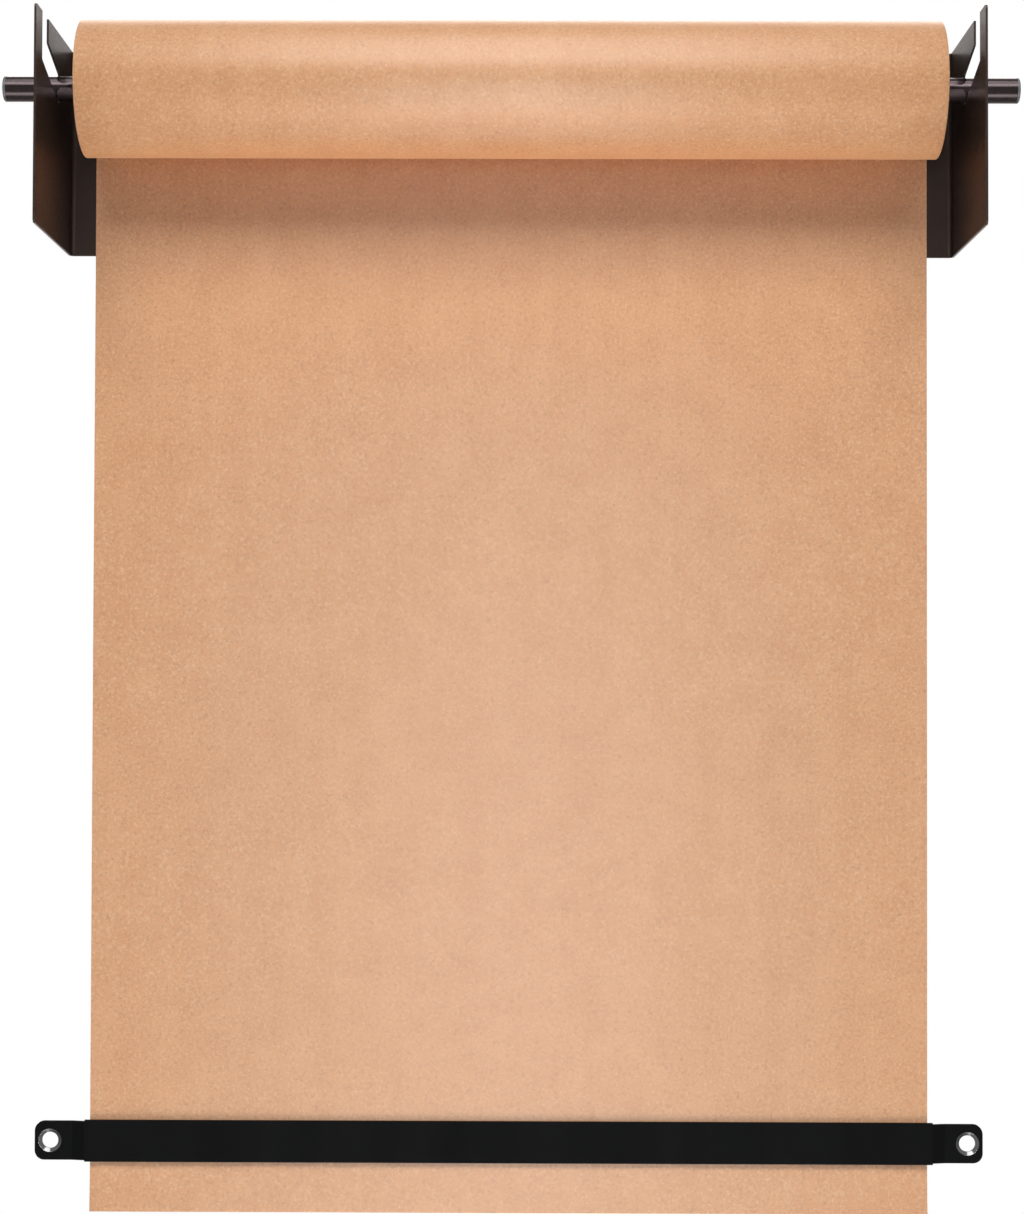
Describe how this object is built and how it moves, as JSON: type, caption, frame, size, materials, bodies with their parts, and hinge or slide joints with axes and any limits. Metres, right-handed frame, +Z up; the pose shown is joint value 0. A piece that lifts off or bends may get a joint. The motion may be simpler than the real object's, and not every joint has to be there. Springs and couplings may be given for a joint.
{
  "type": "wall-mounted paper roll dispenser",
  "caption": "Wall-mounted paper roll dispenser: slotted bent-steel brackets carry a rod and a kraft paper roll, and the sheet hangs from its back and runs behind a flat tear bar.",
  "frame": {"origin": "middle of the four bracket screw holes, on the wall plane", "axes": "+Z up, +Y into the wall, +X to the right as seen from the front"},
  "size_m": [0.725, 0.134, 0.8579],
  "materials": {
    "bracket_coat": "satin dark bronze powder coat on steel sheet",
    "rod_coat": "satin dark coat on steel tube",
    "bar_coat": "satin black powder coat on flat steel, bare in the countersinks",
    "plug_plastic": "black moulded plastic",
    "core_board": "spiral-wound grey-brown board",
    "kraft_paper": "plain uncoated brown kraft"
  },
  "bodies": {
    "wall_frame": {"left_bracket": "bracket_coat", "right_bracket": "bracket_coat", "cutter_bar": "bar_coat", "paper_web": "kraft_paper"},
    "rod": {"rod_tube": "rod_coat", "left_rod_plug": "plug_plastic", "right_rod_plug": "plug_plastic"},
    "roll": {"paper_core": "core_board", "paper_roll": "kraft_paper"},
    "tail": {"paper_tail": "kraft_paper"}
  },
  "joints": [
    {"name": "rod_slide", "type": "slide", "parent": "wall_frame", "child": "rod", "axis": [0, -0.9613, 0.2756], "range_m": [0, 0.0488]},
    {"name": "roll_spin", "type": "hinge", "parent": "rod", "child": "roll", "pos_m": [0, -0.055, 0.035], "axis": [-1, 0, 0], "range_deg": [0, 360]},
    {"name": "paper_feed", "type": "slide", "parent": "wall_frame", "child": "tail", "axis": [0, 0, -1], "range_m": [0, 0.30474]}
  ],
  "couplings": [
    {"joint": "paper_feed", "follows": "roll_spin", "m_per_rad": 0.0485}
  ]
}
